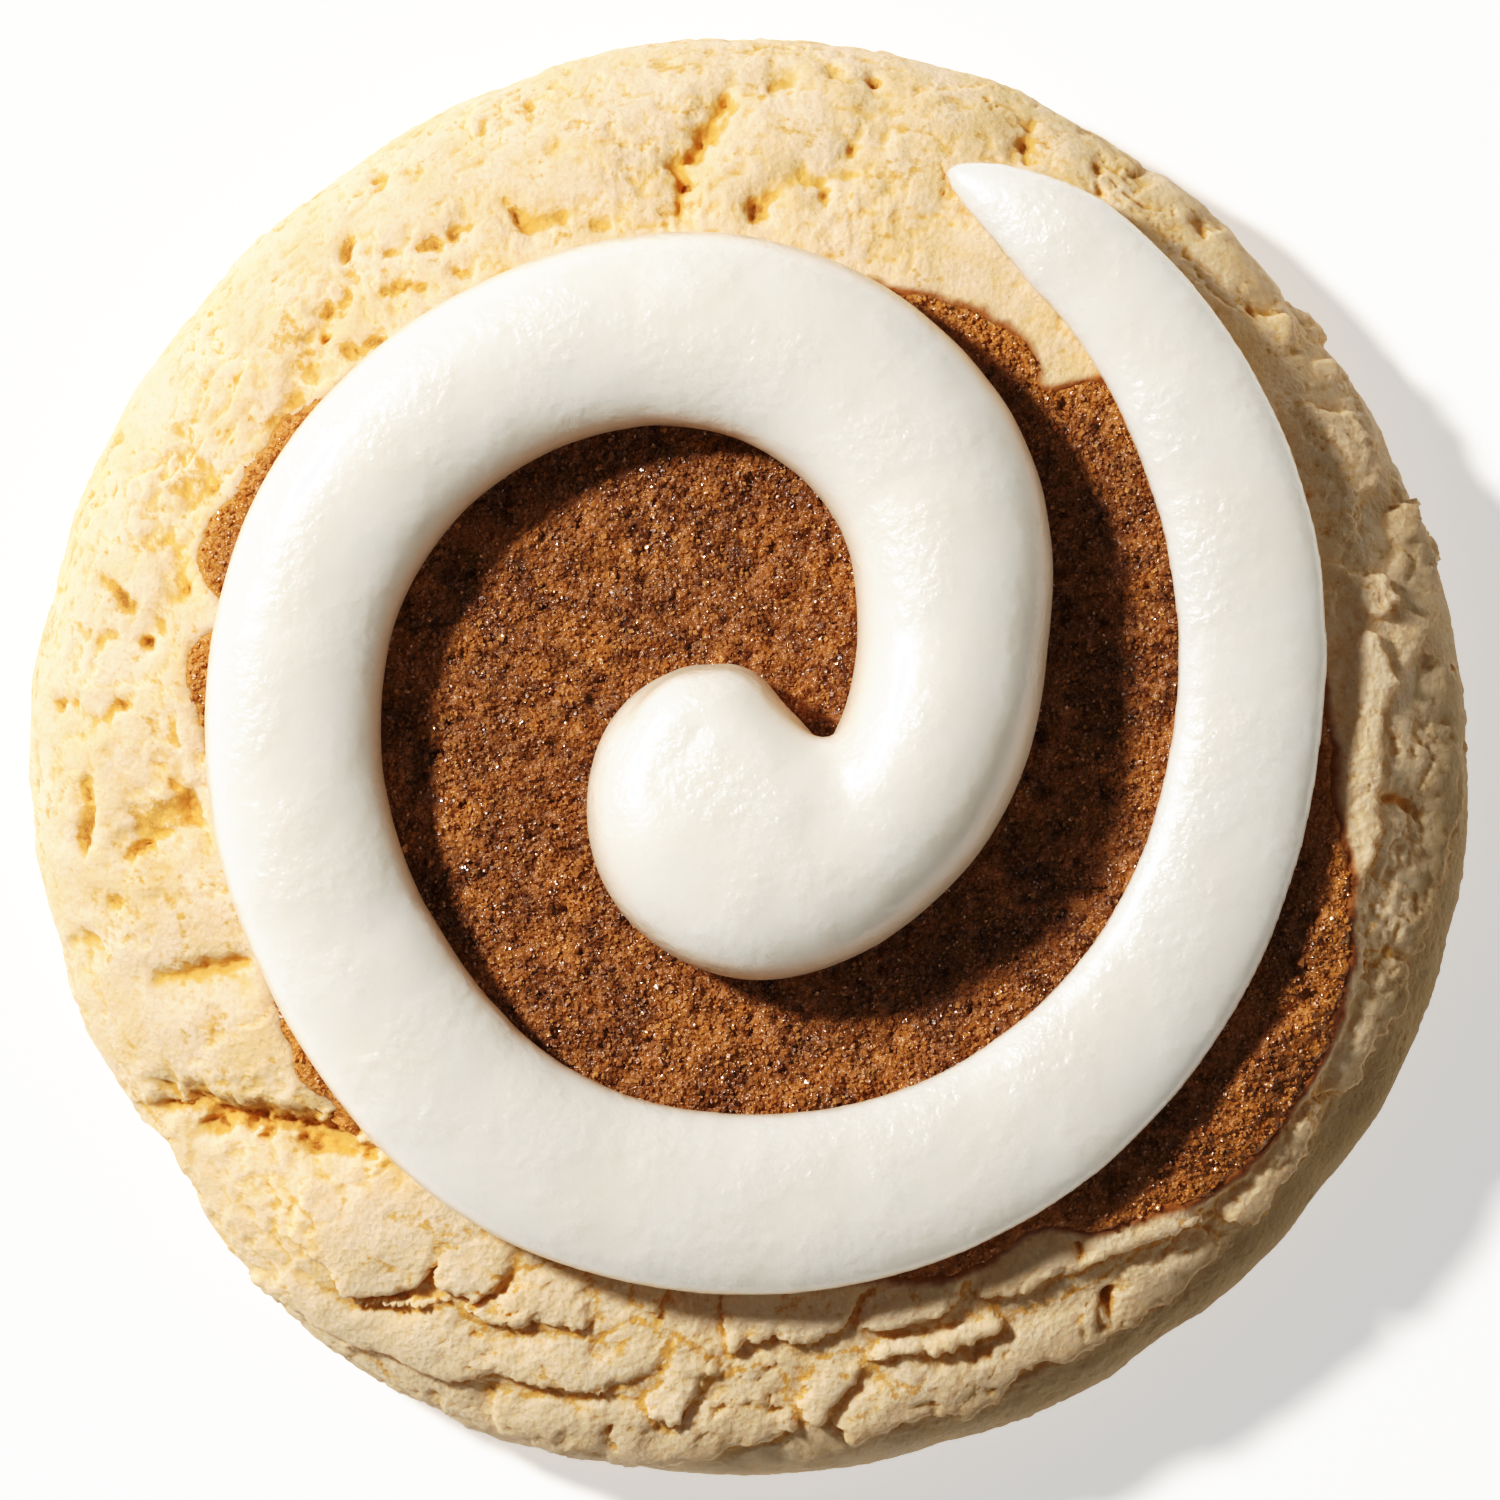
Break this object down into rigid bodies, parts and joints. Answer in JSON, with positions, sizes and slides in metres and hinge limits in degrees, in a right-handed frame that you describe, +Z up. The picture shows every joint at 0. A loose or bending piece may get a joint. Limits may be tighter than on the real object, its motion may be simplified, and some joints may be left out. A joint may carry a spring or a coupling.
{
  "type": "cinnamon roll cookie",
  "caption": "Large soft round sugar cookie with a cinnamon sugar patch baked into its top and a thick rope of white icing piped over it in a spiral.",
  "frame": {"origin": "middle of the flat base, on the surface the cookie rests on", "axes": "+Z up out of the iced top; +Y towards the side where the tail of the icing ends; +X to the right seen from above"},
  "size_m": [0.108, 0.1082, 0.0282],
  "materials": {
    "dough": "pale baked sugar cookie dough, dry and crumbly, ochre in its cracks",
    "cinnamon": "baked cinnamon sugar, granular, with glistening crystals",
    "icing": "thick warm white icing, satin, finely rippled"
  },
  "bodies": {
    "root": {"cookie_dough": "dough", "cinnamon_filling": "cinnamon", "icing_swirl": "icing"}
  },
  "joints": []
}
